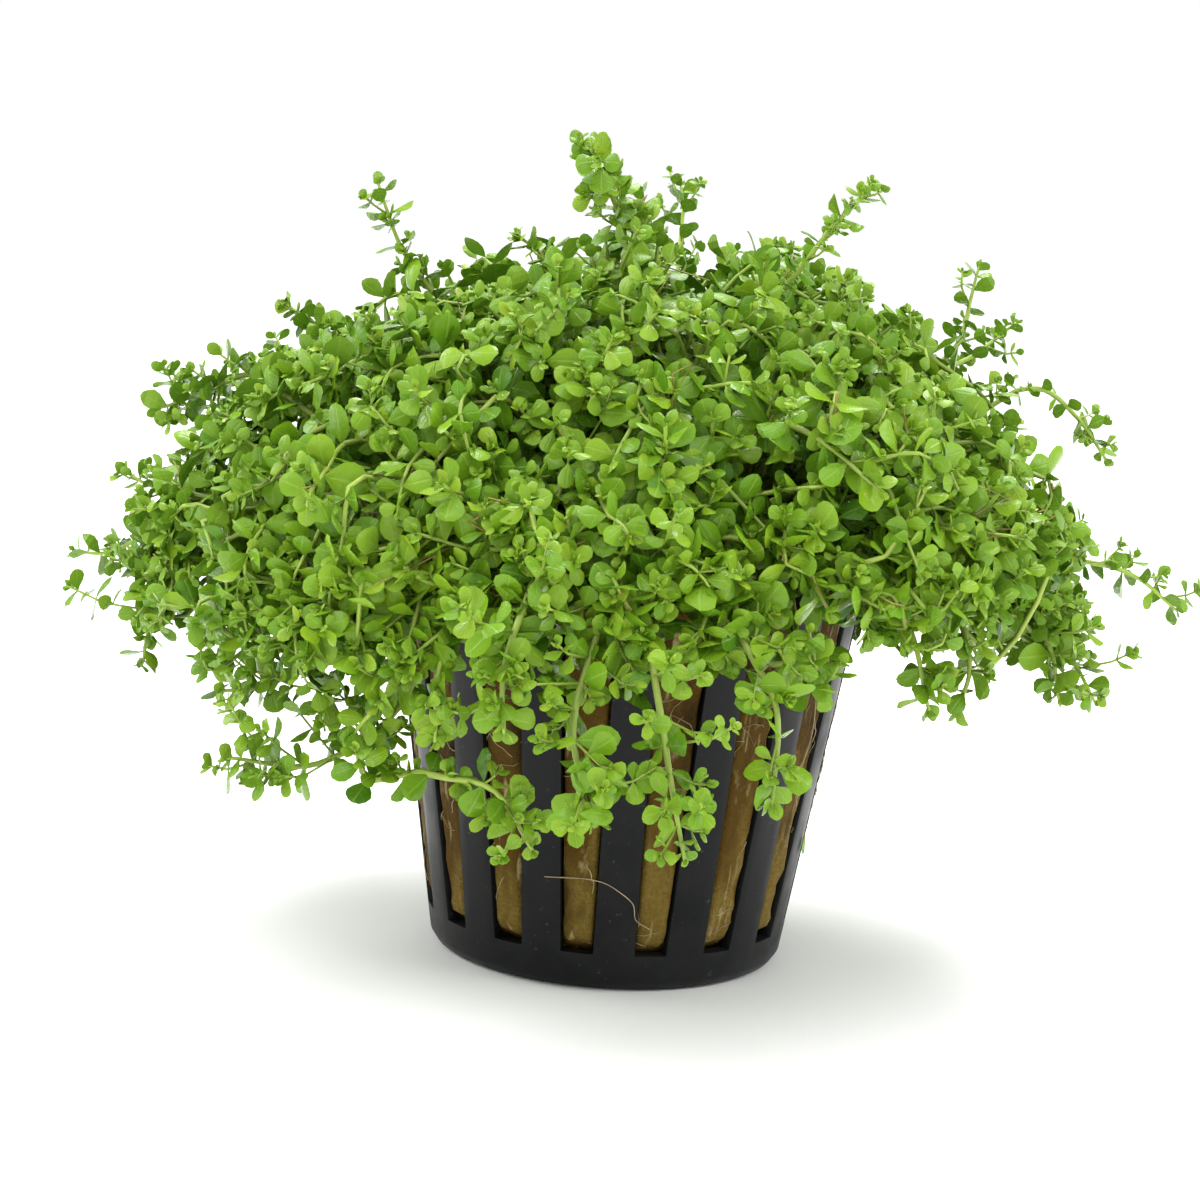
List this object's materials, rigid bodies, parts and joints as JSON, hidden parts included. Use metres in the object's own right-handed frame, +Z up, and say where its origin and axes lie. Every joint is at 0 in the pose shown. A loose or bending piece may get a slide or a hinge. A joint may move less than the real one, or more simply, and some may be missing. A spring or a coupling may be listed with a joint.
{
  "type": "potted aquarium plant",
  "caption": "Low creeping aquarium plant with small round leaves, its stems arching over the rim of a slotted net pot filled with rockwool.",
  "frame": {"origin": "centre of the pot's flat underside, on the pot's axis", "axes": "+Z up along the pot's axis, -Y the side that the picture shows, +X to its right"},
  "size_m": [0.1272, 0.1138, 0.0894],
  "materials": {
    "black_plastic": "satin moulded black plastic",
    "brown_rockwool": "fibrous mineral wool, stained brown",
    "tuft_leaves": "dense small green leaves, half gloss",
    "stem_leaves": "pale green stem and young leaves, half gloss"
  },
  "bodies": {
    "root": {"net_pot": "black_plastic", "rockwool_plug": "brown_rockwool", "stem_back_1": "stem_leaves", "stem_back_2": "stem_leaves", "stem_back_3": "stem_leaves", "stem_back_4": "stem_leaves", "stem_back_left_1": "stem_leaves", "stem_back_left_2": "stem_leaves", "stem_back_left_3": "stem_leaves", "stem_back_right_1": "stem_leaves", "stem_back_right_2": "stem_leaves", "stem_back_right_3": "stem_leaves", "stem_front_1": "stem_leaves", "stem_front_2": "stem_leaves", "stem_front_3": "stem_leaves", "stem_front_4": "stem_leaves", "stem_front_left_1": "stem_leaves", "stem_front_left_2": "stem_leaves", "stem_front_left_3": "stem_leaves", "stem_front_left_4": "stem_leaves", "stem_front_left_5": "stem_leaves", "stem_front_left_6": "stem_leaves", "stem_left_1": "stem_leaves", "stem_left_2": "stem_leaves", "stem_left_3": "stem_leaves", "stem_left_4": "stem_leaves", "stem_left_5": "stem_leaves", "stem_right_1": "stem_leaves", "stem_right_2": "stem_leaves", "stem_right_3": "stem_leaves", "stem_right_4": "stem_leaves", "stem_right_5": "stem_leaves", "stem_right_6": "stem_leaves", "stem_right_7": "stem_leaves", "stem_right_8": "stem_leaves", "stem_top_1": "stem_leaves", "stem_top_2": "stem_leaves", "stem_top_3": "stem_leaves", "stem_top_4": "stem_leaves", "tuft_back": "tuft_leaves", "tuft_back_left": "tuft_leaves", "tuft_back_right": "tuft_leaves", "tuft_centre": "tuft_leaves", "tuft_front": "tuft_leaves", "tuft_front_left": "tuft_leaves", "tuft_front_right": "tuft_leaves", "tuft_left": "tuft_leaves", "tuft_right": "tuft_leaves"}
  },
  "joints": []
}
